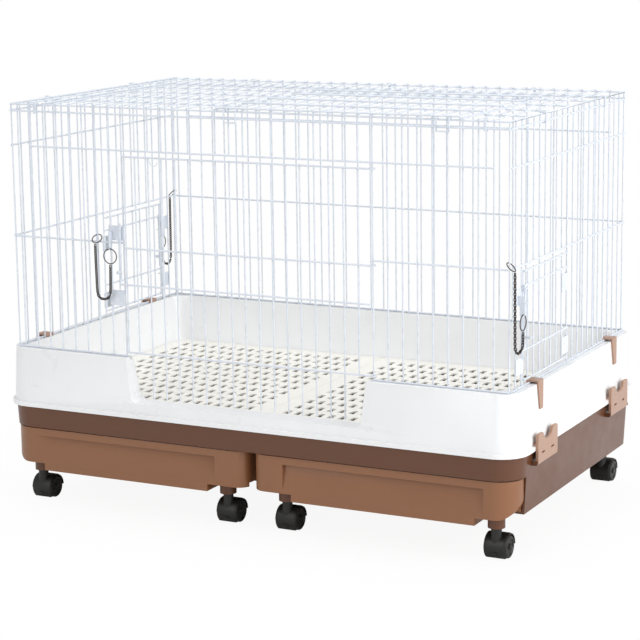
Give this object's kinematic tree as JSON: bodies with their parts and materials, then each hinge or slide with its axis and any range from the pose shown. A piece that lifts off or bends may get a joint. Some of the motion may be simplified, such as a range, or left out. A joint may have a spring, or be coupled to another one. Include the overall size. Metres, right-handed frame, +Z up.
{
  "type": "rabbit cage",
  "caption": "Wire pet cage with hinged front, side and roof doors on a white tray, over a brown base with droppings drawers on swivel casters",
  "frame": {"origin": "on the floor, under the middle of the cage", "axes": "+X along the front from left to right, +Y from the front to the back, +Z up"},
  "size_m": [1.0408, 0.624, 0.7528],
  "materials": {
    "white_wire": "glossy white coating on steel wire",
    "white_plastic": "moulded white plastic, satin",
    "brown_plastic": "moulded chocolate brown plastic, satin",
    "drawer_plastic": "moulded mid-brown plastic, satin",
    "tan_plastic": "moulded tan plastic, glossy",
    "caster_plastic": "moulded black plastic",
    "wheel_plastic": "moulded black plastic wheel",
    "dark_steel": "dark plated steel"
  },
  "bodies": {
    "root": {"back_panel": "white_wire", "cage_clips": "tan_plastic", "floor_grate_left": "white_plastic", "floor_grate_right": "white_plastic", "front_chain": "dark_steel", "front_panel": "white_wire", "latch_keepers": "dark_steel", "latch_rings": "dark_steel", "left_chain": "dark_steel", "left_panel": "white_wire", "lower_housing": "brown_plastic", "right_chain": "dark_steel", "right_panel": "white_wire", "roof_hooks": "dark_steel", "roof_panel": "white_wire", "upper_tray": "white_plastic"},
    "drawer_left": {"drawer_left": "drawer_plastic"},
    "drawer_right": {"drawer_right": "drawer_plastic"},
    "front_door": {"front_door": "white_wire"},
    "left_door": {"left_door": "white_wire"},
    "right_door": {"right_door": "white_wire"},
    "roof_lid": {"roof_lid": "white_wire"},
    "front_bolt": {"front_bolt": "dark_steel"},
    "left_bolt": {"left_bolt": "dark_steel"},
    "right_bolt": {"right_bolt": "dark_steel"},
    "tray_clip_left_back": {"tray_clip_left_back": "tan_plastic"},
    "tray_clip_left_front": {"tray_clip_left_front": "tan_plastic"},
    "tray_clip_right_back": {"tray_clip_right_back": "tan_plastic"},
    "tray_clip_right_front": {"tray_clip_right_front": "tan_plastic"},
    "caster_front_1": {"caster_frame_front_1": "caster_plastic"},
    "wheels_front_1": {"caster_wheels_front_1": "wheel_plastic"},
    "caster_front_2": {"caster_frame_front_2": "caster_plastic"},
    "wheels_front_2": {"caster_wheels_front_2": "wheel_plastic"},
    "caster_front_3": {"caster_frame_front_3": "caster_plastic"},
    "wheels_front_3": {"caster_wheels_front_3": "wheel_plastic"},
    "caster_front_4": {"caster_frame_front_4": "caster_plastic"},
    "wheels_front_4": {"caster_wheels_front_4": "wheel_plastic"},
    "caster_back_1": {"caster_frame_back_1": "caster_plastic"},
    "wheels_back_1": {"caster_wheels_back_1": "wheel_plastic"},
    "caster_back_2": {"caster_frame_back_2": "caster_plastic"},
    "wheels_back_2": {"caster_wheels_back_2": "wheel_plastic"},
    "caster_back_3": {"caster_frame_back_3": "caster_plastic"},
    "wheels_back_3": {"caster_wheels_back_3": "wheel_plastic"},
    "caster_back_4": {"caster_frame_back_4": "caster_plastic"},
    "wheels_back_4": {"caster_wheels_back_4": "wheel_plastic"}
  },
  "joints": [
    {"name": "drawer_left_slide", "type": "slide", "parent": "root", "child": "drawer_left", "axis": [0, -1, 0], "range_m": [0, 0.43]},
    {"name": "drawer_right_slide", "type": "slide", "parent": "root", "child": "drawer_right", "axis": [0, -1, 0], "range_m": [0, 0.43]},
    {"name": "front_door_hinge", "type": "hinge", "parent": "root", "child": "front_door", "pos_m": [0.24056, -0.285, 0.48], "axis": [0, 0, 1], "range_deg": [0, 110]},
    {"name": "right_door_hinge", "type": "hinge", "parent": "root", "child": "right_door", "pos_m": [0.488, -0.01357, 0.4], "axis": [0, 0, 1], "range_deg": [0, 110]},
    {"name": "left_door_hinge", "type": "hinge", "parent": "root", "child": "left_door", "pos_m": [-0.488, 0.01357, 0.4], "axis": [0, 0, 1], "range_deg": [0, 110]},
    {"name": "roof_lid_hinge", "type": "hinge", "parent": "root", "child": "roof_lid", "pos_m": [0.17183, 0.095, 0.745], "axis": [-1, 0, 0], "range_deg": [0, 105]},
    {"name": "front_bolt_slide", "type": "slide", "parent": "root", "child": "front_bolt", "axis": [0, 0, -1], "range_m": [0, 0.018]},
    {"name": "left_bolt_slide", "type": "slide", "parent": "root", "child": "left_bolt", "axis": [0, 0, -1], "range_m": [0, 0.018]},
    {"name": "right_bolt_slide", "type": "slide", "parent": "root", "child": "right_bolt", "axis": [0, 0, -1], "range_m": [0, 0.018]},
    {"name": "tray_clip_left_back_hinge", "type": "hinge", "parent": "root", "child": "tray_clip_left_back", "pos_m": [-0.5169, 0.186, 0.165], "axis": [0, -1, 0], "range_deg": [0, 80]},
    {"name": "tray_clip_left_front_hinge", "type": "hinge", "parent": "root", "child": "tray_clip_left_front", "pos_m": [-0.5169, -0.186, 0.165], "axis": [0, -1, 0], "range_deg": [0, 80]},
    {"name": "tray_clip_right_back_hinge", "type": "hinge", "parent": "root", "child": "tray_clip_right_back", "pos_m": [0.5169, 0.186, 0.165], "axis": [0, 1, 0], "range_deg": [0, 80]},
    {"name": "tray_clip_right_front_hinge", "type": "hinge", "parent": "root", "child": "tray_clip_right_front", "pos_m": [0.5169, -0.186, 0.165], "axis": [0, 1, 0], "range_deg": [0, 80]},
    {"name": "caster_front_1_swivel", "type": "hinge", "parent": "root", "child": "caster_front_1", "pos_m": [-0.459, -0.267, 0.06], "axis": [0, 0, 1], "continuous": true},
    {"name": "wheels_front_1_spin", "type": "hinge", "parent": "caster_front_1", "child": "wheels_front_1", "pos_m": [-0.459, -0.254, 0.02], "axis": [1, 0, 0], "continuous": true},
    {"name": "caster_front_2_swivel", "type": "hinge", "parent": "root", "child": "caster_front_2", "pos_m": [-0.06, -0.267, 0.06], "axis": [0, 0, 1], "continuous": true},
    {"name": "wheels_front_2_spin", "type": "hinge", "parent": "caster_front_2", "child": "wheels_front_2", "pos_m": [-0.06, -0.254, 0.02], "axis": [1, 0, 0], "continuous": true},
    {"name": "caster_front_3_swivel", "type": "hinge", "parent": "root", "child": "caster_front_3", "pos_m": [0.06, -0.267, 0.06], "axis": [0, 0, 1], "continuous": true},
    {"name": "wheels_front_3_spin", "type": "hinge", "parent": "caster_front_3", "child": "wheels_front_3", "pos_m": [0.06, -0.254, 0.02], "axis": [1, 0, 0], "continuous": true},
    {"name": "caster_front_4_swivel", "type": "hinge", "parent": "root", "child": "caster_front_4", "pos_m": [0.459, -0.267, 0.06], "axis": [0, 0, 1], "continuous": true},
    {"name": "wheels_front_4_spin", "type": "hinge", "parent": "caster_front_4", "child": "wheels_front_4", "pos_m": [0.459, -0.254, 0.02], "axis": [1, 0, 0], "continuous": true},
    {"name": "caster_back_1_swivel", "type": "hinge", "parent": "root", "child": "caster_back_1", "pos_m": [-0.459, 0.267, 0.06], "axis": [0, 0, 1], "continuous": true},
    {"name": "wheels_back_1_spin", "type": "hinge", "parent": "caster_back_1", "child": "wheels_back_1", "pos_m": [-0.459, 0.28, 0.02], "axis": [1, 0, 0], "continuous": true},
    {"name": "caster_back_2_swivel", "type": "hinge", "parent": "root", "child": "caster_back_2", "pos_m": [-0.06, 0.267, 0.06], "axis": [0, 0, 1], "continuous": true},
    {"name": "wheels_back_2_spin", "type": "hinge", "parent": "caster_back_2", "child": "wheels_back_2", "pos_m": [-0.06, 0.28, 0.02], "axis": [1, 0, 0], "continuous": true},
    {"name": "caster_back_3_swivel", "type": "hinge", "parent": "root", "child": "caster_back_3", "pos_m": [0.06, 0.267, 0.06], "axis": [0, 0, 1], "continuous": true},
    {"name": "wheels_back_3_spin", "type": "hinge", "parent": "caster_back_3", "child": "wheels_back_3", "pos_m": [0.06, 0.28, 0.02], "axis": [1, 0, 0], "continuous": true},
    {"name": "caster_back_4_swivel", "type": "hinge", "parent": "root", "child": "caster_back_4", "pos_m": [0.459, 0.267, 0.06], "axis": [0, 0, 1], "continuous": true},
    {"name": "wheels_back_4_spin", "type": "hinge", "parent": "caster_back_4", "child": "wheels_back_4", "pos_m": [0.459, 0.28, 0.02], "axis": [1, 0, 0], "continuous": true}
  ]
}
